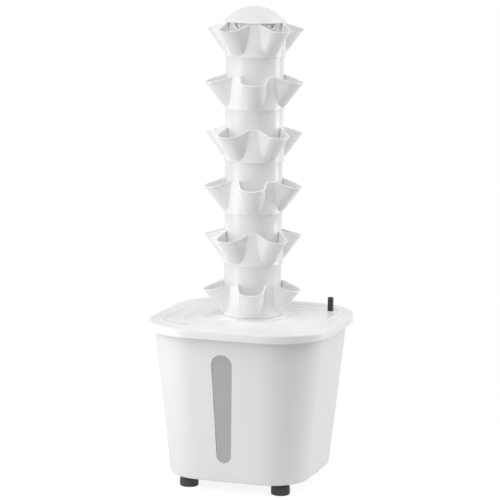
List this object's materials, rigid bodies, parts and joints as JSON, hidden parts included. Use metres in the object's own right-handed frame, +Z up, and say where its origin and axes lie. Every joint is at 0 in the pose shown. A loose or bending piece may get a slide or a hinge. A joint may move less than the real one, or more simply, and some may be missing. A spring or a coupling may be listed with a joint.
{
  "type": "vertical planter tower",
  "caption": "Free-standing hydroponic planting tower: stacked tiers of tilted round pockets under a domed cap, on a lidded square water bucket with a sight window and screw feet.",
  "frame": {"origin": "on the floor, on the tower's axis", "axes": "+Z up; -Y is the front, with the sight window; +X to the right of it"},
  "size_m": [0.358, 0.358, 0.9146],
  "materials": {
    "white_moulding": "satin white moulding",
    "bucket_white": "white moulding with a fine eggshell surface",
    "window_grey": "translucent grey",
    "seal_black": "soft rubber",
    "foot_charcoal": "charcoal moulding",
    "zinc_steel": "zinc plated thread",
    "gauge_black": "black moulding",
    "float_foam": "closed cell foam",
    "pump_black": "black moulding",
    "ceramic_shaft": "polished ceramic",
    "impeller_blue": "blue moulding over a magnet",
    "dial_orange": "orange moulding",
    "pipe_white": "white drawn pipe"
  },
  "bodies": {
    "reservoir": {"bucket": "bucket_white", "sight_window": "window_grey", "window_seal": "seal_black", "pump_case": "pump_black", "pump_front_cover": "pump_black", "pump_shaft": "ceramic_shaft", "pump_shaft_bushes": "seal_black", "pump_suction_cups": "seal_black", "pump_lead_gland": "seal_black", "riser_adapter": "gauge_black", "riser_pipe_1": "pipe_white", "riser_pipe_2": "pipe_white", "riser_pipe_3": "pipe_white", "riser_coupler_1": "gauge_black", "riser_coupler_2": "gauge_black"},
    "lid": {"lid": "white_moulding", "float_guide": "white_moulding"},
    "port_cover": {"port_cover": "white_moulding"},
    "level_gauge": {"level_stick": "gauge_black", "level_float": "float_foam"},
    "pump_impeller": {"pump_impeller": "impeller_blue"},
    "pump_flow_dial": {"pump_flow_dial": "dial_orange"},
    "foot_front_left": {"foot_front_left": "foot_charcoal", "foot_screw_front_left": "zinc_steel"},
    "foot_front_right": {"foot_front_right": "foot_charcoal", "foot_screw_front_right": "zinc_steel"},
    "foot_rear_right": {"foot_rear_right": "foot_charcoal", "foot_screw_rear_right": "zinc_steel"},
    "foot_rear_left": {"foot_rear_left": "foot_charcoal", "foot_screw_rear_left": "zinc_steel"},
    "tier_1": {"tier_1": "white_moulding"},
    "tier_2": {"tier_2": "white_moulding"},
    "tier_3": {"tier_3": "white_moulding"},
    "tier_4": {"tier_4": "white_moulding"},
    "tier_5": {"tier_5": "white_moulding"},
    "tier_6": {"tier_6": "white_moulding"},
    "spreader_cup": {"spreader_cup": "white_moulding"},
    "top_cap": {"top_cap": "white_moulding"}
  },
  "joints": [
    {"name": "lid_lift", "type": "slide", "parent": "reservoir", "child": "lid", "axis": [0, 0, 1], "range_m": [0, 0.25]},
    {"name": "port_cover_lift", "type": "slide", "parent": "lid", "child": "port_cover", "axis": [0, 0, 1], "range_m": [0, 0.03]},
    {"name": "level_gauge_rise", "type": "slide", "parent": "lid", "child": "level_gauge", "axis": [0, 0, 1], "range_m": [0, 0.05]},
    {"name": "impeller_spin", "type": "hinge", "parent": "reservoir", "child": "pump_impeller", "pos_m": [0, 0, 0.061], "axis": [0, 1, 0], "continuous": true},
    {"name": "flow_dial_turn", "type": "hinge", "parent": "reservoir", "child": "pump_flow_dial", "pos_m": [0.0155, -0.0165, 0.0767], "axis": [0, -1, 0], "range_deg": [0, 90]},
    {"name": "foot_front_left_turn", "type": "hinge", "parent": "reservoir", "child": "foot_front_left", "pos_m": [-0.092, -0.092, 0], "axis": [0, 0, 1], "continuous": true},
    {"name": "foot_front_right_turn", "type": "hinge", "parent": "reservoir", "child": "foot_front_right", "pos_m": [0.092, -0.092, 0], "axis": [0, 0, 1], "continuous": true},
    {"name": "foot_rear_right_turn", "type": "hinge", "parent": "reservoir", "child": "foot_rear_right", "pos_m": [0.092, 0.092, 0], "axis": [0, 0, 1], "continuous": true},
    {"name": "foot_rear_left_turn", "type": "hinge", "parent": "reservoir", "child": "foot_rear_left", "pos_m": [-0.092, 0.092, 0], "axis": [0, 0, 1], "continuous": true},
    {"name": "tower_turn", "type": "hinge", "parent": "lid", "child": "tier_1", "pos_m": [0, 0, 0.325], "axis": [0, 0, 1], "continuous": true},
    {"name": "tier_2_lift", "type": "slide", "parent": "tier_1", "child": "tier_2", "axis": [0, 0, 1], "range_m": [0, 0.06]},
    {"name": "tier_3_lift", "type": "slide", "parent": "tier_2", "child": "tier_3", "axis": [0, 0, 1], "range_m": [0, 0.06]},
    {"name": "tier_4_lift", "type": "slide", "parent": "tier_3", "child": "tier_4", "axis": [0, 0, 1], "range_m": [0, 0.06]},
    {"name": "tier_5_lift", "type": "slide", "parent": "tier_4", "child": "tier_5", "axis": [0, 0, 1], "range_m": [0, 0.06]},
    {"name": "tier_6_lift", "type": "slide", "parent": "tier_5", "child": "tier_6", "axis": [0, 0, 1], "range_m": [0, 0.06]},
    {"name": "spreader_lift", "type": "slide", "parent": "tier_6", "child": "spreader_cup", "axis": [0, 0, 1], "range_m": [0, 0.06]},
    {"name": "cap_lift", "type": "slide", "parent": "spreader_cup", "child": "top_cap", "axis": [0, 0, 1], "range_m": [0, 0.06]}
  ]
}
